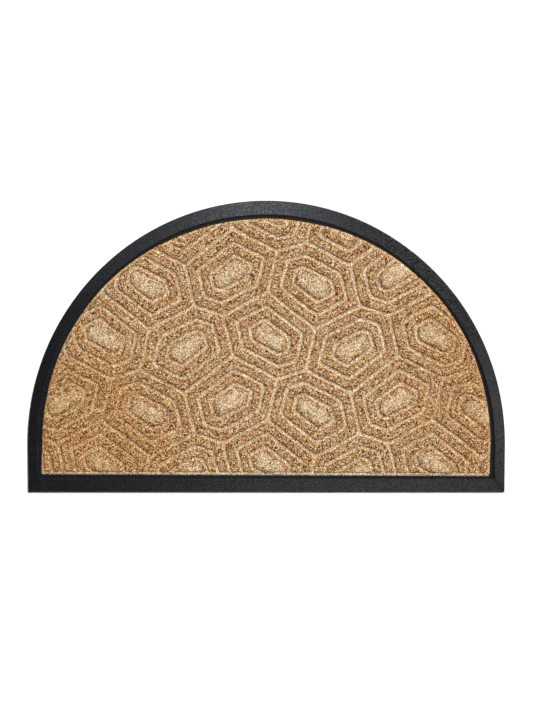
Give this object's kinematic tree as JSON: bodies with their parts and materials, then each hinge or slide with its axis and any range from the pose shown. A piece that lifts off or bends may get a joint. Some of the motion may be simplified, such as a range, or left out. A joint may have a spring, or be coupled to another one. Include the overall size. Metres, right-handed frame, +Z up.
{
  "type": "half-round doormat",
  "caption": "Half-round doormat: a thin moulded rubber tray with a raised border, holding a felt scraper panel embossed with nested hexagons.",
  "frame": {"origin": "on the ground, half way along the mat's width and half way along its depth", "axes": "+X along the straight edge, +Y from the straight edge to the top of the arc, +Z up"},
  "size_m": [0.75, 0.458, 0.0077],
  "materials": {
    "rubber": "matt moulded rubber, finely pebbled, charcoal black",
    "carpet_felt": "heathered tan and brown needled felt, matt, paler in the pressed grooves and on the centre pads"
  },
  "bodies": {
    "root": {"rubber_tray": "rubber", "carpet_panel": "carpet_felt"}
  },
  "joints": []
}
